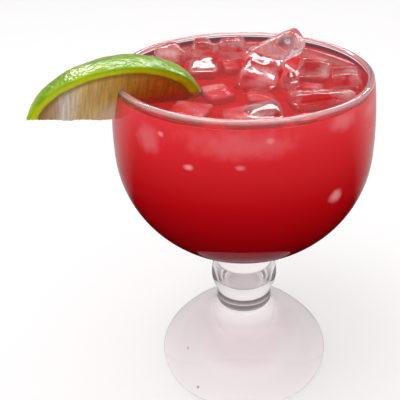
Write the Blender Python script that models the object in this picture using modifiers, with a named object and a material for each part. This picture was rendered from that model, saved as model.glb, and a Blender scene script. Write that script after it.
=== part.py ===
"""A red margarita on ice: a footed schooner glass, the drink, its ice cubes and a lime wedge on the rim.

Units are metres and +Z is up. The origin is the middle of the foot, on the surface that the glass stands on.
The lime hangs over the rim on the -X side, a little towards -Y.
"""

import math
import random

import bmesh
import bpy
from mathutils import Euler, Matrix, Vector

MM = 0.001
CLEARANCE = 0.3 * MM
ROOM_GAP = 0.36 * MM
MERGE = 0.02 * MM

# Glass, turned about Z. A radius and the height it lies at stand together. The pulls are the middle points of
# the two curves of the foot, and the knob's arc is in degrees from its widest ring.
RIM_RADIUS, RIM_HEIGHT = 53.6 * MM, 162.5 * MM
BELLY_RADIUS, BELLY_HEIGHT = 56.8 * MM, 128.5 * MM
BOWL_BOTTOM = 75.3 * MM
BOWL_FLOOR = 78.3 * MM
RIM_WALL = 2.8 * MM
BELLY_WALL = 3.2 * MM
FLARE_RADIUS = 16.8 * MM
WAIST_RADIUS, WAIST_HEIGHT = 13.8 * MM, 68.0 * MM
KNOB_RADIUS, KNOB_HEIGHT = 16.7 * MM, 54.5 * MM
KNOB_TOP, KNOB_BOTTOM = 33, -29
NECK_RADIUS, NECK_HEIGHT, NECK_TOP = 14.2 * MM, 41.0 * MM, 44.0 * MM
BELL_PULLS = ((14.2 * MM, 33.0 * MM), (18.5 * MM, 28.2 * MM))
SHOULDER_RADIUS, SHOULDER_HEIGHT = 25.0 * MM, 23.8 * MM
SKIRT_PULLS = ((32.5 * MM, 18.7 * MM), (40.5 * MM, 10.5 * MM))
FOOT_RADIUS, FOOT_EDGE, FOOT_CORNER = 45.3 * MM, 3.0 * MM, 1.4 * MM
BASE_RADIUS = 43.6 * MM
AROUND = 60
SIDE_STEPS, INNER_CUP_STEPS, OUTER_CUP_STEPS = 4, 11, 10
LIP_STEPS, WAIST_STEPS, KNOB_STEPS, FOOT_STEPS = 4, 3, 6, 5

DRINK_LEVEL = 157.5 * MM

# Lime: an egg-shaped fruit that two knife cuts leave a wedge of. The cuts meet in the wedge's lower edge,
# which the fruit's own length crosses askew, and a slit from that edge sits over the rim.
LIME_HALF_LENGTH = 34.9 * MM
LIME_HALF_WIDTH = 22.4 * MM
LIME_SKEW = math.radians(17)
LIME_RISE = 2.4 * MM
LIME_PLACE = Vector((-50.5, -21.3, 148.1)) * MM
LIME_TURN = Euler((0, math.radians(9.5), math.radians(22.1)))
LIME_FRONT_LEAN = math.radians(18.7)
LIME_WEDGE = math.radians(60)
LIME_AROUND, LIME_ALONG = 30, 18
SLIT_DEPTH = 30 * MM

# Ice: name, middle in mm, turn about X, Y and Z in degrees, and size in mm
ICE = (
    ("ice_tall", (13.7, 25.6, 161.6), (0, -28, -18), (28, 13, 11.5)),
    ("ice_middle", (6.6, 4, 155.8), (11, 17, -11), (16.5, 22, 15)),
    ("ice_right", (30.2, 11, 153.8), (22, 10, -3), (14, 14, 13)),
    ("ice_wall", (42.6, -1, 155.6), (2, -6, -5), (10.5, 14, 13)),
    ("ice_back", (-5.5, 40.5, 154.4), (0, -5, -8), (12, 10, 17)),
    ("ice_back_left", (-20.7, 37, 156.2), (0, 21, 16), (9, 11, 15)),
    ("ice_left", (-18.5, 17.4, 152.6), (9, 3, 1), (13, 16, 14)),
    ("ice_front", (3.6, -32.6, 151.4), (7, -14, 5), (23, 14, 14)),
    ("ice_slab", (30.3, -19, 153.6), (-10, 1, 15), (26, 12, 12)),
    ("ice_behind_lime", (-34, 20.5, 157.5), (20, 0, 33), (13, 12, 16)),
)
ICE_SEED = 7
ICE_MELT, ICE_ROUNDING = 2.6 * MM, 2
ICE_UNEVEN = 0.8 * MM


def make_collection(name):
    made = bpy.data.collections.new(name)
    bpy.context.scene.collection.children.link(made)
    return made


def make_material(name, colour, roughness, transmission=0.0, ior=1.45):
    made = bpy.data.materials.new(name)
    made.use_nodes = True
    shader = made.node_tree.nodes["Principled BSDF"]
    shader.inputs["Base Color"].default_value = (*colour, 1.0)
    shader.inputs["Roughness"].default_value = roughness
    shader.inputs["Metallic"].default_value = 0.0
    shader.inputs["Transmission Weight"].default_value = transmission
    shader.inputs["IOR"].default_value = ior
    return made


def add_object(name, mesh, collection, material=None):
    made = bpy.data.objects.new(name, mesh)
    collection.objects.link(made)
    if material:
        mesh.materials.append(material)
    return made


def mesh_from(name, form):
    mesh = bpy.data.meshes.new(name)
    form.to_mesh(mesh)
    form.free()
    return mesh


def bezier(start, pull_out, pull_in, end, steps):
    """Points of a cubic curve, without its first one."""
    points = []
    for step in range(1, steps + 1):
        t = step / steps
        weights = ((1 - t) ** 3, 3 * t * (1 - t) ** 2, 3 * t * t * (1 - t), t**3)
        pulls = (start, pull_out, pull_in, end)
        points.append(tuple(sum(w * p[axis] for w, p in zip(weights, pulls)) for axis in (0, 1)))
    return points


def arc(centre_radius, centre_height, radius, start, end, steps):
    """Points of an arc in the profile's plane, from one angle to another in degrees."""
    points = []
    for step in range(steps + 1):
        angle = math.radians(start + (end - start) * step / steps)
        points.append((centre_radius + radius * math.cos(angle), centre_height + radius * math.sin(angle)))
    return points


def wall_radius(rise, inside=False):
    """The bowl's radius from its belly, at rise 0, up to the rim, at rise 1."""
    outer = BELLY_RADIUS + (RIM_RADIUS - BELLY_RADIUS) * rise**2
    return outer - inside * (BELLY_WALL + (RIM_WALL - BELLY_WALL) * rise)


def rise_at(height):
    return (height - BELLY_HEIGHT) / (RIM_HEIGHT - BELLY_HEIGHT)


def bowl_side(inside=False, gap=0.0):
    """The side of the bowl from the rim's height down to just above the belly."""
    rises = [1 - step / SIDE_STEPS for step in range(SIDE_STEPS)]
    heights = [BELLY_HEIGHT + (RIM_HEIGHT - BELLY_HEIGHT) * rise for rise in rises]
    return [(wall_radius(rise, inside) + gap, height) for rise, height in zip(rises, heights)]


def bowl_cup(radius, depth, last_radius, steps):
    """The round bottom of the bowl, a quarter ellipse that stops at a radius."""
    last = math.acos(last_radius / radius)
    angles = [last * step / steps for step in range(steps + 1)]
    return [(radius * math.cos(angle), BELLY_HEIGHT - depth * math.sin(angle)) for angle in angles]


def inner_wall(gap=0.0):
    """The inside of the bowl from the rim's height down to the axis, moved inwards by a gap."""
    cup = bowl_cup(BELLY_RADIUS - BELLY_WALL - gap, BELLY_HEIGHT - BOWL_FLOOR - gap, 0.0, INNER_CUP_STEPS)
    return bowl_side(inside=True, gap=-gap) + cup[:-1] + [(0.0, BOWL_FLOOR + gap)]


def glass_profile():
    """The glass from the floor of its bowl, over the rim and down its outer side, to the middle of its base."""
    lip = RIM_WALL / 2
    inside = list(reversed(inner_wall()))[:-1]
    rim = arc(RIM_RADIUS - lip, RIM_HEIGHT - lip, lip, 180, 0, LIP_STEPS)
    cup = bowl_cup(BELLY_RADIUS, BELLY_HEIGHT - BOWL_BOTTOM, FLARE_RADIUS, OUTER_CUP_STEPS)
    outside = bowl_side()[1:] + cup
    waist_pulls = ((WAIST_RADIUS, outside[-1][1] - MM), (WAIST_RADIUS, WAIST_HEIGHT + MM))
    waist = bezier(outside[-1], *waist_pulls, (WAIST_RADIUS, WAIST_HEIGHT), WAIST_STEPS)
    knob = arc(0.0, KNOB_HEIGHT, KNOB_RADIUS, KNOB_TOP, KNOB_BOTTOM, KNOB_STEPS)
    neck = [(NECK_RADIUS, NECK_TOP), (NECK_RADIUS, NECK_HEIGHT)]
    shoulder = (SHOULDER_RADIUS, SHOULDER_HEIGHT)
    bell = bezier(neck[-1], *BELL_PULLS, shoulder, FOOT_STEPS)
    skirt = bezier(shoulder, *SKIRT_PULLS, (FOOT_RADIUS, FOOT_EDGE), FOOT_STEPS)
    edge = [(FOOT_RADIUS, FOOT_CORNER), (BASE_RADIUS, 0.0)]
    return inside + rim + outside + waist + knob + neck + bell + skirt + edge + [(0.0, 0.0)]


def drink_profile():
    """The drink fills the bowl up to its level, a hair off the wall."""
    level_radius = wall_radius(rise_at(DRINK_LEVEL), inside=True) - CLEARANCE
    below = [point for point in inner_wall(CLEARANCE) if point[1] < DRINK_LEVEL]
    return [(0.0, DRINK_LEVEL), (level_radius, DRINK_LEVEL)] + below


def slit_profile():
    """The knife's slit in the lime, a hair wider than the wall that stands in it."""
    lowest = RIM_HEIGHT - SLIT_DEPTH
    inner = [point for point in bowl_side(inside=True, gap=-CLEARANCE) if point[1] > lowest]
    outer = [point for point in bowl_side(gap=CLEARANCE) if point[1] > lowest]
    top = RIM_HEIGHT + CLEARANCE
    inner[0] = (inner[0][0], top)
    outer[0] = (outer[0][0], top)
    ring = list(reversed(inner)) + outer
    return ring + [ring[0]]


def turn(name, profile, collection, material=None):
    """Turns a profile of radius and height pairs about Z."""
    mesh = bpy.data.meshes.new(name)
    points = [(radius, 0.0, height) for radius, height in profile]
    mesh.from_pydata(points, [(i, i + 1) for i in range(len(points) - 1)], [])
    made = add_object(name, mesh, collection, material)
    screw = made.modifiers.new("Turn", "SCREW")
    screw.axis = "Z"
    screw.steps = screw.render_steps = AROUND
    screw.use_merge_vertices = True
    screw.merge_threshold = MERGE
    screw.use_smooth_shade = True
    return made


def melted_cube(size, uneven, grow=0.0):
    """A cube of ice with its corners a little out of true and its edges melted round."""
    form = bmesh.new()
    bmesh.ops.create_cube(form, size=1.0)
    for vert, shift in zip(form.verts, uneven):
        vert.co = Vector(side * (length * MM + 2 * grow) for side, length in zip(vert.co, size)) + shift
    bmesh.ops.bevel(form, geom=form.edges[:], offset=ICE_MELT + grow, segments=ICE_ROUNDING, profile=0.5,
                    affect="EDGES", material=-1)
    return form


def add_ice(parts, cutters, material):
    """Adds every cube, and the room that each takes up in the drink."""
    dice = random.Random(ICE_SEED)
    rooms = []
    for name, middle, turns, size in ICE:
        place = Matrix.Translation(Vector(middle) * MM) @ Euler(map(math.radians, turns)).to_matrix().to_4x4()
        uneven = [Vector(dice.uniform(-ICE_UNEVEN, ICE_UNEVEN) for _ in range(3)) for _ in range(8)]
        cube = add_object(name, mesh_from(name, melted_cube(size, uneven)), parts, material)
        cube.matrix_world = place
        room_name = name + "_room"
        room = add_object(room_name, mesh_from(room_name, melted_cube(size, uneven, ROOM_GAP)), cutters)
        room.matrix_world = place
        rooms.append(room)
    return rooms


def lime_wedge(grow=0.0):
    """The wedge in its own axes: X runs along its lower edge towards the glass, and Y away from the cut front."""
    form = bmesh.new()
    sizes = (LIME_HALF_WIDTH + grow, LIME_HALF_WIDTH + grow, LIME_HALF_LENGTH + grow, 1.0)
    stem_to_x = Matrix.Rotation(math.pi / 2 - LIME_SKEW, 4, "Y")
    shape = Matrix.Translation((0, 0, LIME_RISE)) @ stem_to_x @ Matrix.Diagonal(sizes)
    bmesh.ops.create_uvsphere(form, u_segments=LIME_AROUND, v_segments=LIME_ALONG, radius=1.0, matrix=shape)
    for lean, way in ((LIME_FRONT_LEAN, -1), (LIME_FRONT_LEAN - LIME_WEDGE, 1)):
        outward = Vector((0, math.cos(lean), math.sin(lean))) * way
        everything = form.verts[:] + form.edges[:] + form.faces[:]
        cut = bmesh.ops.bisect_plane(form, geom=everything, dist=1e-7, plane_co=outward * grow,
                                     plane_no=outward, clear_outer=True)
        rim = [item for item in cut["geom_cut"] if isinstance(item, bmesh.types.BMEdge)]
        bmesh.ops.holes_fill(form, edges=rim)
    bmesh.ops.recalc_face_normals(form, faces=form.faces)
    return form


def subtract(target, cutters):
    for cutter in cutters:
        cutter.hide_render = True
        cutter.display_type = "WIRE"
        cut = target.modifiers.new("Cut " + cutter.name, "BOOLEAN")
        cut.operation = "DIFFERENCE"
        cut.solver = "EXACT"
        cut.object = cutter


def main():
    for old in list(bpy.data.objects):
        bpy.data.objects.remove(old, do_unlink=True)
    parts = make_collection("red_margarita_on_ice")
    cutters = make_collection("cutters")

    clear_glass = make_material("clear_soda_glass", (0.92, 0.91, 0.92), 0.02, 1.0, 1.5)
    turn("goblet", glass_profile(), parts, clear_glass)

    clear_ice = make_material("clear_ice", (0.93, 0.80, 0.82), 0.05, 0.9, 1.31)
    rooms = add_ice(parts, cutters, clear_ice)

    lime_place = Matrix.Translation(LIME_PLACE) @ LIME_TURN.to_matrix().to_4x4()
    lime = make_material("lime", (0.36, 0.47, 0.05), 0.4)
    wedge = add_object("lime_wedge", mesh_from("lime_wedge", lime_wedge()), parts, lime)
    wedge.matrix_world = lime_place
    subtract(wedge, [turn("rim_slit", slit_profile(), cutters)])
    lime_room = add_object("lime_room", mesh_from("lime_room", lime_wedge(grow=CLEARANCE)), cutters)
    lime_room.matrix_world = lime_place

    red_drink = make_material("red_margarita", (0.62, 0.02, 0.03), 0.05, 0.3, 1.34)
    drink = turn("drink", drink_profile(), parts, red_drink)
    subtract(drink, rooms + [lime_room])


main()
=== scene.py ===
"""A red margarita on ice in a footed schooner glass, with a lime wedge over the rim, on a pale floor."""

import math

import bmesh
import bpy
from mathutils import Euler, Matrix, Vector, noise
from mathutils.bvhtree import BVHTree


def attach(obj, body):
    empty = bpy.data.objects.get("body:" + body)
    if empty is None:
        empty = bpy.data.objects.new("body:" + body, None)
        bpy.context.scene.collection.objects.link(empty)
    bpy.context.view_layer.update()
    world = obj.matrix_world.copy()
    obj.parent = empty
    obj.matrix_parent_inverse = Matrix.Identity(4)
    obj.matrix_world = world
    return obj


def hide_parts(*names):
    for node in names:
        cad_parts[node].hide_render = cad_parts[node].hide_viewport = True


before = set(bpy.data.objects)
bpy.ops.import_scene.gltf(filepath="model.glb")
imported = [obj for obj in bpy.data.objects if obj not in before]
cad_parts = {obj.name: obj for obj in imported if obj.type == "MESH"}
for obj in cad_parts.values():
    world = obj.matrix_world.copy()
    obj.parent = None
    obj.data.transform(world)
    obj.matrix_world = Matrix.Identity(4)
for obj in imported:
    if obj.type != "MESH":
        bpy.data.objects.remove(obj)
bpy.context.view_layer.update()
scene = bpy.context.scene

# THE GLASS
# A heavy footed schooner, pressed from clear soda glass in one piece and fire polished: a deep round bowl, a
# ball in the stem, and a bell-shaped foot on a ground base with two specks of dirt and a small white speck.
# Its outline is turned.
MM = 0.001
AROUND = 240
RIM_RADIUS, RIM_HEIGHT = 53.6 * MM, 162.5 * MM
BELLY_RADIUS, BELLY_HEIGHT = 56.8 * MM, 128.5 * MM
BOWL_BOTTOM, BOWL_FLOOR = 75.3 * MM, 78.3 * MM
RIM_WALL, BELLY_WALL = 2.8 * MM, 3.2 * MM
FLARE_RADIUS = 16.8 * MM
WAIST_RADIUS, WAIST_HEIGHT = 13.8 * MM, 68.0 * MM
KNOB_RADIUS, KNOB_HEIGHT = 16.7 * MM, 54.5 * MM
KNOB_TOP, KNOB_BOTTOM = 33, -29
NECK_RADIUS, NECK_TOP, NECK_HEIGHT = 14.2 * MM, 44.0 * MM, 41.0 * MM
SHOULDER_RADIUS, SHOULDER_HEIGHT = 25.0 * MM, 23.8 * MM
FOOT_RADIUS, FOOT_EDGE = 45.3 * MM, 3.0 * MM
BASE_RADIUS = 43.6 * MM
BELL_PULLS = (NECK_RADIUS, 33.0 * MM), (18.5 * MM, 28.2 * MM)
SKIRT_PULLS = (32.5 * MM, 18.7 * MM), (40.5 * MM, 10.5 * MM)
CORNER_PULL = 1.0 * MM
SAME_POINT = 0.002 * MM
GROUND_HEIGHT, POLISH_HEIGHT = 0.05 * MM, 0.6 * MM
GROUND_ROUGHNESS, GROUND_CLEARNESS = 0.75, 0.2
# The lip's milkiness is a painted highlight: a pale line where the lip would glint.
LIP_START, LIP_FULL, LIP_HIGHLIGHT_CLEARNESS = RIM_HEIGHT - 1.6 * MM, RIM_HEIGHT - 0.7 * MM, 0.72
FOOT_SPECKS = (
    ((-23.6, -36.0, 6.2), 0.85, "#241c1c"),
    ((-29.8, -18.3, 15.5), 1.1, "#c9a878"),
    ((-10.7, -31.3, 17.3), 0.7, "#ffffff"),
)


def bezier(start, pull_out, pull_in, end, steps):
    """Points of a cubic curve, without its first one."""
    points = []
    for step in range(1, steps + 1):
        t = step / steps
        weights = ((1 - t) ** 3, 3 * t * (1 - t) ** 2, 3 * t * t * (1 - t), t**3)
        pulls = (start, pull_out, pull_in, end)
        points.append(tuple(sum(w * p[axis] for w, p in zip(weights, pulls)) for axis in (0, 1)))
    return points


def arc(centre_radius, centre_height, radius, start, end, steps):
    """Points of an arc in the outline's plane, from one angle to another in degrees."""
    points = []
    for step in range(steps + 1):
        angle = math.radians(start + (end - start) * step / steps)
        points.append((centre_radius + radius * math.cos(angle), centre_height + radius * math.sin(angle)))
    return points


def wall_radius(height, inside=False):
    """The bowl's radius at a height above its belly."""
    rise = (height - BELLY_HEIGHT) / (RIM_HEIGHT - BELLY_HEIGHT)
    outer = BELLY_RADIUS + (RIM_RADIUS - BELLY_RADIUS) * rise**2
    return outer - inside * (BELLY_WALL + (RIM_WALL - BELLY_WALL) * rise)


def bowl_side(top, inside=False, grow=0.0, steps=16):
    """The side of the bowl from a height down to just above its belly."""
    heights = [top + (BELLY_HEIGHT - top) * step / steps for step in range(steps)]
    return [(wall_radius(height, inside) + grow, height) for height in heights]


def bowl_cup(radius, depth, last_radius, steps=48):
    """The round bottom of the bowl, a quarter ellipse that stops at a radius."""
    last = math.acos(last_radius / radius)
    angles = [last * step / steps for step in range(steps + 1)]
    return [(radius * math.cos(angle), BELLY_HEIGHT - depth * math.sin(angle)) for angle in angles]


def inner_wall(top, grow=0.0):
    """The inside of the bowl from a height down to the axis, moved outwards by a little."""
    cup = bowl_cup(BELLY_RADIUS - BELLY_WALL + grow, BELLY_HEIGHT - BOWL_FLOOR + grow, 0.0)
    return bowl_side(top, inside=True, grow=grow) + cup[:-1] + [(0.0, BOWL_FLOOR - grow)]


def written(form, mesh):
    """Writes an edited form into a mesh and lets the form go."""
    form.to_mesh(mesh)
    form.free()
    return mesh


def turned(name, outline):
    """Spins an outline of radius and height pairs about the glass's axis into a closed, smooth mesh."""
    form = bmesh.new()
    line = [form.verts.new((radius, 0.0, height)) for radius, height in outline]
    edges = [form.edges.new(pair) for pair in zip(line, line[1:])]
    bmesh.ops.spin(form, geom=line + edges, cent=(0, 0, 0), axis=(0, 0, 1), angle=math.tau, steps=AROUND,
                   use_merge=True)
    bmesh.ops.remove_doubles(form, verts=form.verts, dist=SAME_POINT)
    bmesh.ops.recalc_face_normals(form, faces=form.faces)
    mesh = written(form, bpy.data.meshes.new(name))
    mesh.shade_smooth()
    return mesh


def linear(hex_colour):
    """An sRGB hex colour as the linear RGBA that a shader takes."""
    shares = [int(hex_colour[i:i + 2], 16) / 255 for i in (1, 3, 5)]
    return (*(s / 12.92 if s <= 0.04045 else ((s + 0.055) / 1.055) ** 2.4 for s in shares), 1.0)


def add(tree, kind, sockets=None, stops=None, **settings):
    """Adds a shader node. A socket takes a value or another node's output, and a ramp takes its stops."""
    made = tree.nodes.new("ShaderNode" + kind)
    for name, value in settings.items():
        setattr(made, name, value)
    for name, value in (sockets or {}).items():
        if isinstance(value, bpy.types.NodeSocket):
            tree.links.new(value, made.inputs[name])
        else:
            made.inputs[name].default_value = value
    if stops:
        while len(made.color_ramp.elements) < len(stops):
            made.color_ramp.elements.new(0.5)
        for element, (place, colour) in zip(made.color_ramp.elements, stops):
            element.position = place
            element.color = colour
    return made


def share(tree, value, start, end, low=0.0, high=1.0, **settings):
    """How far a value is from start to end, turned into a number from low to high."""
    ends = {"From Min": start, "From Max": end, "To Min": low, "To Max": high}
    return add(tree, "MapRange", {"Value": value, **ends}, **settings).outputs[0]


def blend(tree, amount, under, over, **settings):
    """One colour laid over another by an amount."""
    return add(tree, "MixRGB", {"Fac": amount, 1: under, 2: over}, **settings).outputs["Color"]


def material(name):
    """An empty material and its node tree."""
    made = bpy.data.materials.new(name)
    made.use_nodes = True
    made.node_tree.nodes.clear()
    return made, made.node_tree


def clear_finish(tree, face, tint, **inner):
    """Ends a clear material. Lamps and the light that other pieces scatter pass straight through it."""
    light_path = add(tree, "LightPath")
    passes = add(tree, "Math", {
        0: light_path.outputs["Is Shadow Ray"], 1: light_path.outputs["Is Diffuse Ray"],
    }, operation="MAXIMUM")
    clear = add(tree, "BsdfTransparent", {"Color": linear(tint)})
    mixed = add(tree, "MixShader", {"Fac": passes.outputs[0], 1: face.outputs[0], 2: clear.outputs[0]})
    add(tree, "OutputMaterial", {"Surface": mixed.outputs[0], **inner})


def add_piece(mesh, finish, slot, *nodes):
    """Puts a mesh in the scene, in its finish, in place of the plain solids it stands for."""
    made = bpy.data.objects.new(mesh.name, mesh)
    scene.collection.objects.link(made)
    mesh.materials.clear()
    mesh.materials.append(finish)
    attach(made, "root")
    if nodes:
        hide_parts(*nodes)
    return made


lip = RIM_WALL / 2
inside_up = list(reversed(inner_wall(RIM_HEIGHT - lip)))
lip_arc = arc(RIM_RADIUS - lip, RIM_HEIGHT - lip, lip, 180, 0, steps=16)
outside_down = bowl_side(RIM_HEIGHT - lip) + bowl_cup(BELLY_RADIUS, BELLY_HEIGHT - BOWL_BOTTOM, FLARE_RADIUS)
flare = outside_down[-1]
waist = bezier(flare, (WAIST_RADIUS, flare[1] - CORNER_PULL), (WAIST_RADIUS, WAIST_HEIGHT + CORNER_PULL),
               (WAIST_RADIUS, WAIST_HEIGHT), steps=12)
knob = arc(0.0, KNOB_HEIGHT, KNOB_RADIUS, KNOB_TOP, KNOB_BOTTOM, steps=24)
neck = [(NECK_RADIUS, NECK_TOP), (NECK_RADIUS, NECK_HEIGHT)]
shoulder = (SHOULDER_RADIUS, SHOULDER_HEIGHT)
bell = bezier(neck[-1], *BELL_PULLS, shoulder, steps=24)
foot_top = (FOOT_RADIUS, FOOT_EDGE)
skirt = bezier(shoulder, *SKIRT_PULLS, foot_top, steps=28)
foot_edge = bezier(foot_top, (FOOT_RADIUS, CORNER_PULL), (BASE_RADIUS + CORNER_PULL, 0.0), (BASE_RADIUS, 0.0),
                   steps=8)
glass_outline = inside_up + lip_arc[1:] + outside_down[1:] + waist + knob + neck + bell + skirt + foot_edge
glass_mesh = turned("clear_schooner_glass", glass_outline + [(0.0, 0.0)])

# Polished soda glass bends light by 1.5 and is clear. Its slightly milky lip is a painted highlight, a pale
# line where the lip would glint. The ground base looks pale and matt through the foot. Its red tinge in the
# middle is painted red light from the drink above, and it is darker where the bowl and the knob mirror it,
# which is painted shade.
soda_glass, tree = material("clear_soda_glass")
place = add(tree, "TexCoord").outputs["Object"]
height = add(tree, "SeparateXYZ", {"Vector": place}).outputs["Z"]
roughness = share(tree, height, GROUND_HEIGHT, POLISH_HEIGHT, GROUND_ROUGHNESS, 0.0)
polish = share(tree, height, GROUND_HEIGHT, POLISH_HEIGHT, GROUND_CLEARNESS, 1.0)
# Painted highlight: the lip is part milky, so it shows a pale line.
lip_highlight_clearness = share(tree, height, LIP_START, LIP_FULL, 1.0, LIP_HIGHLIGHT_CLEARNESS)
clearness = add(tree, "Math", {0: polish, 1: lip_highlight_clearness}, operation="MULTIPLY")
across = add(tree, "VectorMath", {0: place, 1: (1.0, 1.0, 0.0)}, operation="MULTIPLY")
from_axis = add(tree, "VectorMath", {0: across.outputs[0]}, operation="LENGTH")
base_share = share(tree, from_axis.outputs["Value"], 0.0, FOOT_RADIUS)
# Painted light: the base is red-grey in the middle, as lit by the drink above, and whiter at its edge.
painted_drink_light_rings = add(tree, "ValToRGB", {"Fac": base_share}, stops=[
    (0.0, linear("#e0cfd3")), (0.3, linear("#e4d6d9")), (0.5, linear("#f3ecee")), (0.85, linear("#faf6f7")),
    (0.97, linear("#ffffff")),
])
# Painted shade: the base turns dark where the bowl and the knob mirror it.
mirrored_times = add(tree, "LightPath").outputs["Glossy Depth"]
painted_ground_light_and_shade = blend(tree, mirrored_times, painted_drink_light_rings.outputs["Color"], linear("#4c2c34"), use_clamp=True)
glass_tint = blend(tree, polish, painted_ground_light_and_shade, linear("#fdfafb"))
for spot, radius, colour in FOOT_SPECKS:
    away = add(tree, "VectorMath", {0: place, 1: Vector(spot) * MM}, operation="DISTANCE")
    speck = share(tree, away.outputs["Value"], radius * MM, radius * MM / 2)
    glass_tint = blend(tree, speck, glass_tint, linear(colour))
polished = add(tree, "BsdfPrincipled", {
    "Base Color": glass_tint, "Roughness": roughness, "IOR": 1.5, "Transmission Weight": clearness.outputs[0],
})
clear_finish(tree, polished, "#f6f3f4")
add_piece(glass_mesh, soda_glass, "clear_glass", "goblet")

# THE ICE
# Cubes from a bar's machine, melted round, with shallow dents. Ten reach above the drink, and each of these
# is its plain solid, made fine and dented. Eight more, one a sliver that just breaks the surface, lie sunk in
# the drink and are only made here.
ICE_GRAIN, SOFTEN_STEPS = 0.55 * MM, 2
ICE_WAVES = (7 * MM, 0.45 * MM), (2.6 * MM, 0.1 * MM)
ICE_MELT = 0.135 * MM
SUNK_ROUNDING = 1.6 * MM
SUNK_ICE = (
    ("ice_cube_sunk_middle", (-11, -11.5, 151.6), (3, -3, 24), (12, 14, 10)),
    ("ice_cube_sunk_front_left", (-20.5, -29.5, 151.4), (-3, 3, -14), (15, 14, 10)),
    ("ice_cube_sunk_right", (19.6, 2, 153), (8, 12, 8), (4, 10, 12)),
    ("ice_cube_sunk_back", (33.5, 28.5, 151.6), (2, 3, 40), (7, 11, 10)),
    ("ice_cube_sunk_left", (-6.5, 20, 151.4), (-2, 4, 12), (7, 12, 10)),
    ("ice_cube_sunk_front", (6.5, -17.5, 152.2), (7, 5, 12), (11, 8, 9)),
    ("ice_cube_sunk_mid_right", (28, -6, 152), (-6, 7, -12), (9, 8, 9)),
    ("ice_cube_sunk_front_right", (22.5, -36, 152), (4, -5, 32), (8, 7, 9)),
)


def waves(place, sizes):
    """The height of noise at a place, from the size and the depth of each of its waves."""
    return sum(noise.noise(place / size) * depth for size, depth in sizes)


def form_of(mesh):
    """A mesh opened for editing."""
    form = bmesh.new()
    form.from_mesh(mesh)
    form.normal_update()
    return form


def evaluated_mesh(made, name):
    """The mesh that an object's modifiers give, with the object removed."""
    graph = bpy.context.evaluated_depsgraph_get()
    mesh = bpy.data.meshes.new_from_object(made.evaluated_get(graph))
    mesh.name = name
    bpy.data.objects.remove(made, do_unlink=True)
    return mesh


def regrained(mesh, name, grain):
    """A closed mesh made over in even small faces, with its edges softened."""
    made = bpy.data.objects.new(name, mesh)
    scene.collection.objects.link(made)
    remesh = made.modifiers.new("Even faces", "REMESH")
    remesh.mode = "VOXEL"
    remesh.voxel_size = grain
    soften = made.modifiers.new("Soften", "SMOOTH")
    soften.factor = 0.5
    soften.iterations = SOFTEN_STEPS
    return evaluated_mesh(made, name)


def carved(name, mesh, cutters):
    """A mesh with others cut out of it. What the cuts lay bare takes the second finish."""
    made = bpy.data.objects.new(name, mesh)
    scene.collection.objects.link(made)
    tools = []
    for cutter in cutters:
        cutter.polygons.foreach_set("material_index", [1] * len(cutter.polygons))
        tool = bpy.data.objects.new("tool", cutter)
        scene.collection.objects.link(tool)
        tools.append(tool)
        cut = made.modifiers.new("Cut", "BOOLEAN")
        cut.operation = "DIFFERENCE"
        cut.solver = "MANIFOLD"
        cut.object = tool
    done = evaluated_mesh(made, name)
    for tool in tools:
        bpy.data.objects.remove(tool, do_unlink=True)
    return done


def plain_solid(node):
    """A plain solid of the part as one closed mesh."""
    form = form_of(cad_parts[node].data)
    bmesh.ops.remove_doubles(form, verts=form.verts, dist=SAME_POINT / 2)
    return written(form, bpy.data.meshes.new(node + "_plain"))


def rounded_cube(name, middle, turns, size):
    """A block with round edges, from its middle and size in millimetres and its turns in degrees."""
    form = bmesh.new()
    bmesh.ops.create_cube(form, size=1.0)
    bmesh.ops.scale(form, vec=Vector(size) * MM, verts=form.verts)
    bmesh.ops.bevel(form, geom=form.edges[:], offset=SUNK_ROUNDING, segments=4, profile=0.5, affect="EDGES")
    turn = Euler([math.radians(angle) for angle in turns]).to_matrix().to_4x4()
    bmesh.ops.transform(form, matrix=Matrix.Translation(Vector(middle) * MM) @ turn, verts=form.verts)
    return written(form, bpy.data.meshes.new(name + "_plain"))


def dented(mesh):
    """The mesh with shallow dents and ripples melted into it."""
    form = form_of(mesh)
    for vert in form.verts:
        vert.co += vert.normal * (waves(vert.co, ICE_WAVES) - ICE_MELT)
    written(form, mesh)
    mesh.shade_smooth()
    return mesh


# Wet ice is clear, faintly pink from the drink, and cloudy in patches.
ice_glass, tree = material("clear_wet_ice")
place = add(tree, "TexCoord").outputs["Object"]
cloud = add(tree, "TexNoise", {"Vector": place, "Scale": 110.0, "Detail": 4.0})
clearness = share(tree, cloud.outputs["Fac"], 0.4, 0.7, 1.0, 0.55)
clear_ice = add(tree, "BsdfPrincipled", {
    "Base Color": linear("#fbeff1"), "Roughness": 0.01, "IOR": 1.31, "Transmission Weight": clearness,
})
clear_finish(tree, clear_ice, "#f8f4f4")

ice_pieces = []
for node in sorted(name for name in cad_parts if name.startswith("ice_")):
    mesh = dented(regrained(plain_solid(node), node.replace("ice_", "ice_cube_"), ICE_GRAIN))
    ice_pieces.append(add_piece(mesh, ice_glass, "ice", node))
for name, middle, turns, size in SUNK_ICE:
    mesh = dented(regrained(rounded_cube(name, middle, turns, size), name, ICE_GRAIN))
    ice_pieces.append(add_piece(mesh, ice_glass, "ice"))

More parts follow.
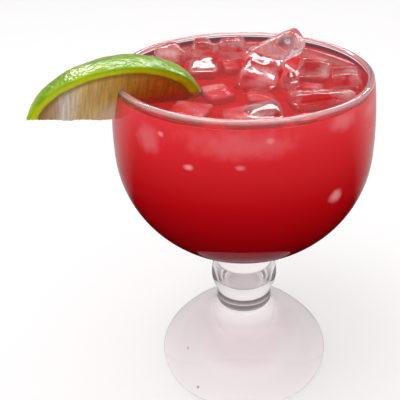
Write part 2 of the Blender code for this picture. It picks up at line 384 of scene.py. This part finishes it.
# THE LIME
# A sixth of a lime cut lengthwise, with a slit over the rim. A waxy green rind with oil pores runs into a
# thin yellow layer under it, and the juice sacs of the flesh run from the pale core out to the rind. It is a
# fruit cut by two planes, made fine, swelled by noise, and slit by the outline of the rim.
LIME_HALF_LENGTH, LIME_HALF_WIDTH = 34.9 * MM, 22.4 * MM
LIME_SKEW = math.radians(17)
LIME_RISE = 2.4 * MM
LIME_PLACE = Vector((-50.5, -21.3, 148.1)) * MM
LIME_TURN = Euler((0, math.radians(9.5), math.radians(22.1)))
LIME_FRONT_LEAN, LIME_WEDGE = math.radians(18.7), math.radians(60)
LIME_AROUND, LIME_ALONG, LIME_GRAIN = 160, 96, 0.45 * MM
RIND_WAVES = (9 * MM, 0.45 * MM), (2.4 * MM, 0.14 * MM)
FLESH_WAVES = (1.6 * MM, 0.12 * MM), (5 * MM, 0.4 * MM)
FLESH_EDGE, FLESH_SINK = 0.92, 0.15 * MM
FLESH_REACH = 32.0
SLIT_END, SLIT_BITE = RIM_HEIGHT - 30 * MM, 0.1 * MM
SHARP_TURN = math.radians(50)

lime_axes = Matrix.Translation(LIME_PLACE) @ LIME_TURN.to_matrix().to_4x4()
fruit_turn = Matrix.Rotation(math.pi / 2 - LIME_SKEW, 4, "Y")
fruit_axes = lime_axes @ Matrix.Translation((0, 0, LIME_RISE)) @ fruit_turn
fruit_size = Vector((LIME_HALF_WIDTH, LIME_HALF_WIDTH, LIME_HALF_LENGTH))
fruit_shape = fruit_axes @ Matrix.Diagonal((*fruit_size, 1.0))

form = bmesh.new()
bmesh.ops.create_uvsphere(form, u_segments=LIME_AROUND, v_segments=LIME_ALONG, radius=1.0, matrix=fruit_shape)
for lean, way in ((LIME_FRONT_LEAN, -1), (LIME_FRONT_LEAN - LIME_WEDGE, 1)):
    outward = lime_axes.to_3x3() @ (Vector((0, math.cos(lean), math.sin(lean))) * way)
    cut = bmesh.ops.bisect_plane(form, geom=form.verts[:] + form.edges[:] + form.faces[:], dist=1e-7,
                                 plane_co=LIME_PLACE, plane_no=outward, clear_outer=True)
    cut_edges = [item for item in cut["geom_cut"] if isinstance(item, bmesh.types.BMEdge)]
    bmesh.ops.holes_fill(form, edges=cut_edges)
bmesh.ops.recalc_face_normals(form, faces=form.faces)
lime_mesh = regrained(written(form, bpy.data.meshes.new("whole_wedge")), "whole_wedge", LIME_GRAIN)

to_fruit = fruit_shape.inverted()
form = form_of(lime_mesh)
for vert in form.verts:
    swell = waves(vert.co, RIND_WAVES)
    if (to_fruit @ vert.co).length < FLESH_EDGE:
        swell = waves(vert.co, FLESH_WAVES) - FLESH_SINK
    vert.co += vert.normal * swell
written(form, lime_mesh)

slit_outline = [(wall_radius(SLIT_END, True) + SLIT_BITE, SLIT_END)]
slit_outline += arc(RIM_RADIUS - lip, RIM_HEIGHT - lip, lip - SLIT_BITE, 180, 0, steps=10)
slit_outline += [(wall_radius(SLIT_END) - SLIT_BITE, SLIT_END)]
slit_outline.append(slit_outline[0])
lime_mesh = carved("lime_wedge_fresh", lime_mesh, [turned("slit", slit_outline)])
lime_mesh.shade_smooth()
lime_mesh.set_sharp_from_angle(angle=SHARP_TURN)

# The finish goes by how far out in the fruit a place lies: wet tan flesh with fine sacs and a pale core, a
# brown edge that is painted shade where the flesh dips below the rind, a yellow layer, and a glossy green
# rind dimpled by pores. The end in the glass is orange, painted red light from the drink around it.
lime_skin, tree = material("waxy_rind_and_wet_flesh")
place = add(tree, "TexCoord").outputs["Object"]
in_fruit = add(tree, "Mapping", {
    "Vector": place, "Location": fruit_axes.translation, "Rotation": fruit_axes.to_euler(),
    "Scale": fruit_size,
}, vector_type="TEXTURE").outputs[0]
in_wedge = add(tree, "Mapping", {
    "Vector": place, "Location": LIME_PLACE, "Rotation": LIME_TURN, "Scale": (MM, MM, MM),
}, vector_type="TEXTURE").outputs[0]
outness = add(tree, "VectorMath", {0: in_fruit}, operation="LENGTH")
wobble = add(tree, "TexNoise", {"Vector": in_wedge, "Scale": 0.25, "Detail": 2.0})
wobbled = add(tree, "Math", {
    0: wobble.outputs["Fac"], 1: 0.02, 2: outness.outputs["Value"],
}, operation="MULTIPLY_ADD").outputs[0]
along = add(tree, "SeparateXYZ", {"Vector": in_wedge}).outputs["X"]
# The orange towards the end in the glass is painted red light from the drink.
flesh_and_painted_red_light = add(tree, "ValToRGB", {"Fac": share(tree, along, -FLESH_REACH, FLESH_REACH)}, stops=[
    (0.0, linear("#a07c50")), (0.12, linear("#ab8c66")), (0.19, linear("#d2c8b6")), (0.3, linear("#c4a766")),
    (0.5, linear("#b08a34")), (0.7, linear("#b06a1c")), (1.0, linear("#b84820")),
])
sacs_place = add(tree, "Mapping", {"Vector": in_wedge, "Scale": (1.1, 0.12, 0.12)})
sacs = add(tree, "TexNoise", {"Vector": sacs_place.outputs[0], "Scale": 1.0, "Detail": 3.0})
sac_shade = share(tree, sacs.outputs["Fac"], 0.3, 0.7, 0.75, 1.2)
flesh = add(tree, "VectorMath", {0: flesh_and_painted_red_light.outputs["Color"], "Scale": sac_shade}, operation="SCALE")
rind_tint = add(tree, "TexNoise", {"Vector": in_wedge, "Scale": 0.12, "Detail": 2.0})
rind = add(tree, "ValToRGB", {"Fac": rind_tint.outputs["Fac"]}, stops=[
    (0.3, linear("#74a000")), (0.7, linear("#a4c800")),
])
with_core = blend(tree, share(tree, wobbled, 0.08, 0.42, 0.55, 0.0), flesh.outputs[0], linear("#ded4c8"))
# Painted shade: a brown line where the flesh dips below the rind.
with_painted_edge_shade = blend(tree, share(tree, wobbled, 0.8, 0.87, 0.0, 0.75), with_core, linear("#84621c"))
with_yellow = blend(tree, share(tree, wobbled, 0.885, 0.915), with_painted_edge_shade, linear("#bccc00"))
with_rind = blend(tree, share(tree, wobbled, 0.95, 1.0), with_yellow, rind.outputs["Color"])
pores = add(tree, "TexVoronoi", {"Vector": in_wedge, "Scale": 0.85}, feature="SMOOTH_F1")
bump = add(tree, "Bump", {"Height": pores.outputs["Distance"], "Strength": 1.0, "Distance": 0.24 * MM})
skin = add(tree, "BsdfPrincipled", {
    "Base Color": with_rind, "Roughness": 0.25, "IOR": 1.45, "Normal": bump.outputs[0],
    "Subsurface Weight": 0.3, "Subsurface Radius": (1.0, 0.8, 0.3), "Subsurface Scale": 2 * MM,
})
add(tree, "OutputMaterial", {"Surface": skin.outputs[0]})
lime_piece = add_piece(lime_mesh, lime_skin, "lime", "lime_wedge")

# THE DRINK
# Strawberry margarita, cloudy with fruit that has settled, so that its top layer is clear enough to see the
# ice in and its body isn't. It is turned from the inside of the bowl, climbs the wall and the ice a little,
# and has rooms cut for the ice and the lime. Foam and ice seen through the glass are pale spots in its side.
DRINK_LEVEL = 157.5 * MM
INTO_WALL, INTO_PIECE = 0.15 * MM, 0.12 * MM
TOP_RINGS, BODY_RINGS = 90, 40
WALL_CLIMB, WALL_REACH = 1.1 * MM, 1.3 * MM
ICE_CLIMB, ICE_REACH, ICE_LOOK = 0.35 * MM, 0.7 * MM, 8 * MM
TOP_EDGE = 0.01 * MM
SWELL, SWELL_SIZE = 0.2 * MM, 9 * MM
BODY_TOP, BODY_GAP = 145.5 * MM, 0.5 * MM
SPOT_RAGGEDNESS, SPOT_OUTSIDE, SPOT_INSIDE = 0.9, 1.6, 0.6
PALE_SPOTS = (
    ((34.5, -38, 156), (8, 8, 4), 0.4),
    ((-34, -40, 150), (7, 7, 7), 0.3),
    ((-1.4, -51, 153), (24, 12, 6), 0.25),
    ((34.1, -41.3, 126.4), (4, 4, 3.4), 0.7),
    ((-19.4, -49.5, 143.3), (2.2, 2, 1.4), 0.9),
    ((-29, -43.4, 153.4), (1.6, 1.5, 1.2), 0.9),
    ((8.9, -51, 154.5), (2.4, 2, 1.6), 0.6),
    ((-1.1, -53, 144.9), (2.2, 2, 1.2), 0.5),
    ((46.9, -21.7, 154), (6, 8, 4), 0.3),
    ((-8, 51, 148), (14, 8, 6), 0.3),
    ((30, 40, 140), (6, 6, 5), 0.4),
    ((-52, 6, 146), (6, 10, 6), 0.3),
)

level_radius = wall_radius(DRINK_LEVEL, True) + INTO_WALL
top = [(level_radius * step / TOP_RINGS, DRINK_LEVEL) for step in range(TOP_RINGS)]
drink_mesh = turned("drink_plain", top + inner_wall(DRINK_LEVEL, INTO_WALL))

neighbours = []
rooms = []
for piece in ice_pieces + [lime_piece]:
    form = form_of(piece.data)
    neighbours.append(BVHTree.FromBMesh(form))
    for vert in form.verts:
        vert.co -= vert.normal * INTO_PIECE
    rooms.append(written(form, bpy.data.meshes.new("room_" + piece.name)))

form = form_of(drink_mesh)
for vert in form.verts:
    if vert.co.z < DRINK_LEVEL - TOP_EDGE:
        continue
    gaps = [near.find_nearest(vert.co, ICE_LOOK)[3] for near in neighbours]
    gap = min(found for found in gaps + [ICE_LOOK] if found is not None)
    vert.co.z += ICE_CLIMB * math.exp(-gap / ICE_REACH) + noise.noise(vert.co / SWELL_SIZE) * SWELL
    vert.co.z += WALL_CLIMB * math.exp(-(level_radius - vert.co.xy.length) / WALL_REACH)
drink_mesh = carved("red_margarita", written(form, drink_mesh), rooms)
drink_mesh.shade_smooth()
drink_mesh.set_sharp_from_angle(angle=SHARP_TURN)

# The side is what shows through the glass: an opaque, soft red, bright at the top and dark at the bottom. The
# darkening is painted shade, as the light from above fades with depth. It has no gloss of its own, as the
# glass in front of it has that.
red_drink, tree = material("cloudy_red_drink")
place = add(tree, "TexCoord").outputs["Object"]
height = add(tree, "SeparateXYZ", {"Vector": place}).outputs["Z"]
# Painted shade: the red darkens towards the bottom of the drink.
painted_depth_shade = add(tree, "ValToRGB", {"Fac": share(tree, height, BOWL_FLOOR, DRINK_LEVEL)}, stops=[
    (0.0, linear("#66040f")), (0.27, linear("#7d030b")), (0.42, linear("#98050c")), (0.63, linear("#c20c14")),
    (0.9, linear("#e82e36")), (1.0, linear("#ee4048")),
])
blotches = add(tree, "TexNoise", {"Vector": place, "Scale": 260.0, "Detail": 5.0})
paleness = 0.0
for spot, size, strength in PALE_SPOTS:
    off = add(tree, "VectorMath", {0: place, 1: Vector(spot) * MM}, operation="SUBTRACT")
    scaled = add(tree, "VectorMath", {0: off.outputs[0], 1: Vector(size) * MM}, operation="DIVIDE")
    away = add(tree, "VectorMath", {0: scaled.outputs[0]}, operation="LENGTH")
    ragged = add(tree, "Math", {
        0: blotches.outputs["Fac"], 1: SPOT_RAGGEDNESS, 2: away.outputs["Value"],
    }, operation="MULTIPLY_ADD").outputs[0]
    here = share(tree, ragged, SPOT_OUTSIDE, SPOT_INSIDE, 0.0, strength, interpolation_type="SMOOTHSTEP")
    paleness = add(tree, "Math", {0: paleness, 1: here}, operation="MAXIMUM").outputs[0]
body = add(tree, "BsdfPrincipled", {
    "Base Color": blend(tree, paleness, painted_depth_shade.outputs["Color"], linear("#f6a9ad")),
    "Roughness": 0.5, "IOR": 1.34, "Specular IOR Level": 0.0,
    "Subsurface Weight": 0.4, "Subsurface Radius": (1.0, 0.15, 0.12), "Subsurface Scale": 5 * MM,
})
add(tree, "OutputMaterial", {"Surface": body.outputs[0]})

# The top and the rooms are clear, and what is seen through them turns redder with depth.
top_layer, tree = material("clear_top_of_drink")
clear_drink = add(tree, "BsdfPrincipled", {
    "Base Color": linear("#ffdcdc"), "Roughness": 0.0, "IOR": 1.34, "Transmission Weight": 0.97,
})
soaks = add(tree, "VolumeAbsorption", {"Color": (0.96, 0.3, 0.32, 1.0), "Density": 160.0})
clear_finish(tree, clear_drink, "#ffffff", Volume=soaks.outputs[0])

add_piece(drink_mesh, red_drink, "red_margarita", "drink")
drink_mesh.materials.append(top_layer)
for face in drink_mesh.polygons:
    if face.center.z > DRINK_LEVEL - SWELL:
        face.material_index = 1

# The settled fruit glows a little, as the light that the real drink scatters would make it.
body_side = [(radius, height) for radius, height in inner_wall(DRINK_LEVEL, -BODY_GAP) if height < BODY_TOP]
body_rings = [(body_side[0][0] * step / BODY_RINGS, BODY_TOP) for step in range(BODY_RINGS + 1)]
body_mesh = turned("settled_fruit", body_rings + body_side)
settled, tree = material("settled_red_fruit")
place = add(tree, "TexCoord").outputs["Object"]
pulp = add(tree, "TexNoise", {"Vector": place, "Scale": 120.0, "Detail": 3.0})
pulp_tint = add(tree, "ValToRGB", {"Fac": pulp.outputs["Fac"]}, stops=[
    (0.35, linear("#e01218")), (0.65, linear("#f22a30")),
])
fruit = add(tree, "BsdfPrincipled", {
    "Base Color": pulp_tint.outputs["Color"], "Roughness": 0.8,
    "Emission Color": pulp_tint.outputs["Color"], "Emission Strength": 0.3,
    "Subsurface Weight": 0.4, "Subsurface Radius": (1.0, 0.15, 0.12), "Subsurface Scale": 5 * MM,
})
add(tree, "OutputMaterial", {"Surface": fruit.outputs[0]})
add_piece(body_mesh, settled, "red_margarita")

# THE STUDIO
# A plain pale floor and soft white light from all round, with a long lamp and two small ones behind the glass
# that only glossy and clear things show, and one soft lamp overhead. A dark velvet band round the table shows
# only through the glass and the ice, to which it gives edges. The camera stands where the photograph's did.
CAMERA_PLACE = Vector((0.0, -222.24, 239.42)) * MM
CAMERA_PITCH = math.radians(32.62)
CAMERA_LENS, CAMERA_SHIFT, CAMERA_SENSOR, CAMERA_NEAR = 49.53, -0.11, 36.0, 0.01
BAND_RADIUS, BAND_LOW, BAND_HEIGHT = 0.36, 0.005, 0.1
FLOOR_REACH, FLOOR_DROP = 3.0, 0.0002
LAMPS_LOOK_AT = Vector((0, 0, 0.12))
LAMPS = (
    ("long_softbox_behind", (0.0, 0.75, 0.8), 1.3, 0.13, 8.0, False),
    ("window_left", (-0.5, 0.6, 0.65), 0.1, 0.1, 1.3, False),
    ("window_right", (0.5, 0.65, 0.55), 0.1, 0.1, 1.3, False),
    ("overhead_softbox", (-0.25, -0.1, 0.95), 0.4, 0.4, 1.2, True),
)


def stage_piece(name, form, finish):
    """Puts a piece of the studio in the scene."""
    made = bpy.data.objects.new(name, written(form, bpy.data.meshes.new(name)))
    made.data.materials.append(finish)
    scene.collection.objects.link(made)
    return made


# Matt near-white paper, a little brighter than the light on it makes it.
pale, tree = material("pale_floor")
matt = add(tree, "BsdfPrincipled", {
    "Base Color": linear("#f7f6f6"), "Roughness": 0.9,
    "Emission Color": linear("#ffffff"), "Emission Strength": 0.12,
})
add(tree, "OutputMaterial", {"Surface": matt.outputs[0]})
form = bmesh.new()
bmesh.ops.create_grid(form, x_segments=1, y_segments=1, size=FLOOR_REACH)
floor = stage_piece("floor", form, pale)
floor.location.z = -FLOOR_DROP
floor.visible_glossy = False

# Matt, dark red-brown velvet.
velvet, tree = material("dark_velvet")
cloth = add(tree, "BsdfDiffuse", {"Color": (0.13, 0.06, 0.08, 1)})
add(tree, "OutputMaterial", {"Surface": cloth.outputs[0]})
form = bmesh.new()
bmesh.ops.create_cone(form, cap_ends=False, segments=64, radius1=BAND_RADIUS, radius2=BAND_RADIUS,
                      depth=BAND_HEIGHT)
bmesh.ops.translate(form, verts=form.verts, vec=(0, 0, BAND_HEIGHT / 2 + BAND_LOW))
ring = stage_piece("dark_band", form, velvet)
ring.visible_camera = ring.visible_diffuse = ring.visible_glossy = ring.visible_shadow = False

# The room is white, and grey below. What polished faces mirror is darker: near black in front of the glass
# and straight below, grey behind it up to the horizon, dim above that, and white overhead.
world = bpy.data.worlds.new("soft_white_room")
world.use_nodes = True
tree = world.node_tree
tree.nodes.clear()
look = add(tree, "SeparateXYZ", {"Vector": add(tree, "TexCoord").outputs["Generated"]})
rise = share(tree, look.outputs["Z"], -1.0, 1.0)
sky = add(tree, "ValToRGB", {"Fac": rise}, stops=[
    (0.0, (0.4, 0.39, 0.39, 1)), (0.5, (0.7, 0.68, 0.69, 1)), (0.62, (0.95, 0.94, 0.94, 1)),
    (1.0, (1.0, 1.0, 1.0, 1)),
])
behind = add(tree, "Math", {0: look.outputs["Y"], 1: 0.8, 2: look.outputs["Z"]}, operation="MULTIPLY_ADD")
back_share = share(tree, behind.outputs[0], -0.25, 0.1, 0.04, 1.0)
mirror_sky = add(tree, "ValToRGB", {"Fac": rise}, stops=[
    (0.19, (0.03, 0.02, 0.02, 1)), (0.22, (0.6, 0.57, 0.58, 1)), (0.5, (0.6, 0.57, 0.58, 1)),
    (0.56, (0.2, 0.17, 0.18, 1)), (0.72, (0.2, 0.17, 0.18, 1)), (0.8, (1.0, 1.0, 1.0, 1)),
])
mirrored = add(tree, "VectorMath", {0: mirror_sky.outputs["Color"], "Scale": back_share}, operation="SCALE")
light_path = add(tree, "LightPath")
sharp = add(tree, "Math", {
    0: light_path.outputs["Is Reflection Ray"], 1: light_path.outputs["Is Diffuse Ray"],
}, operation="SUBTRACT", use_clamp=True)
seen = blend(tree, sharp.outputs[0], sky.outputs["Color"], mirrored.outputs[0])
light = add(tree, "Background", {"Color": seen, "Strength": 0.9})
add(tree, "OutputWorld", {"Surface": light.outputs[0]})
scene.world = world

for name, spot, width, depth, power, lights_things in LAMPS:
    lamp_data = bpy.data.lights.new(name, "AREA")
    lamp_data.shape = "RECTANGLE"
    lamp_data.size, lamp_data.size_y = width, depth
    lamp_data.energy = power
    lamp = bpy.data.objects.new(name, lamp_data)
    lamp.location = spot
    lamp.rotation_euler = (LAMPS_LOOK_AT - Vector(spot)).to_track_quat("-Z", "Y").to_euler()
    lamp.visible_diffuse = lights_things
    scene.collection.objects.link(lamp)

camera_data = bpy.data.cameras.new("camera")
camera_data.lens = CAMERA_LENS
camera_data.sensor_width = CAMERA_SENSOR
camera_data.shift_x = CAMERA_SHIFT
camera_data.clip_start = CAMERA_NEAR
camera = bpy.data.objects.new("camera", camera_data)
camera.location = CAMERA_PLACE
camera.rotation_euler = (math.pi / 2 - CAMERA_PITCH, 0, 0)
scene.collection.objects.link(camera)
scene.camera = camera
scene.view_settings.view_transform = "Standard"
scene.cycles.max_bounces = 20
scene.cycles.transmission_bounces = 18
scene.cycles.transparent_max_bounces = 32
